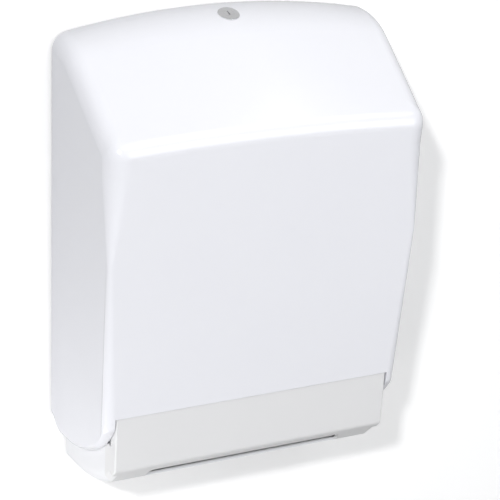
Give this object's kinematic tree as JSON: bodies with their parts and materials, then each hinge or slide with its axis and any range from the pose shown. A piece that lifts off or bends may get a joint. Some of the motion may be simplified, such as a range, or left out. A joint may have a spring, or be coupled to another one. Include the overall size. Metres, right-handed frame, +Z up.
{
  "type": "wall paper towel dispenser",
  "caption": "Wall dispenser for folded paper towels with a locking swing-down front cover, a towel tray and a rounded outlet lip with a slot.",
  "frame": {"origin": "centre of the four wall-screw holes, on the plate's rear face against the wall", "axes": "+Z up the wall, +X to the right seen from the front, -Y out of the wall towards the user"},
  "size_m": [0.303, 0.1284, 0.4214],
  "materials": {
    "cover_white": "glossy white moulding",
    "tray_white": "satin white moulding",
    "panel_grey": "satin light grey moulding",
    "plate_white": "matt white moulding",
    "guide_white": "matt white moulding",
    "bush_natural": "natural bearing plastic",
    "lock_nickel": "nickel plated",
    "zinc_steel": "bright zinc plated steel",
    "buffer_rubber": "black rubber"
  },
  "bodies": {
    "housing": {"back_plate": "plate_white", "towel_tray": "tray_white", "outlet_panel": "panel_grey", "towel_guide_right": "guide_white", "towel_guide_left": "guide_white", "guide_screws": "zinc_steel", "tray_screws": "zinc_steel", "panel_screws": "zinc_steel", "hinge_bush_right": "bush_natural", "hinge_bush_left": "bush_natural", "latch_keeper": "zinc_steel", "keeper_screws": "zinc_steel", "cover_buffer_right": "buffer_rubber", "cover_buffer_left": "buffer_rubber"},
    "cover": {"front_cover": "cover_white", "hinge_pin_right": "zinc_steel", "hinge_pin_left": "zinc_steel", "lock_barrel": "lock_nickel", "lock_washer": "zinc_steel", "lock_nut": "zinc_steel"},
    "lock": {"lock_core": "lock_nickel", "lock_cam": "zinc_steel", "cam_screw": "zinc_steel"}
  },
  "joints": [
    {"name": "cover_hinge", "type": "hinge", "parent": "housing", "child": "cover", "pos_m": [0, -0.08, -0.188], "axis": [1, 0, 0], "range_deg": [0, 90]},
    {"name": "lock_turn", "type": "hinge", "parent": "cover", "child": "lock", "pos_m": [0, -0.027, 0.16777], "axis": [0, -0.3003, 0.9539], "range_deg": [-90, 0]}
  ]
}
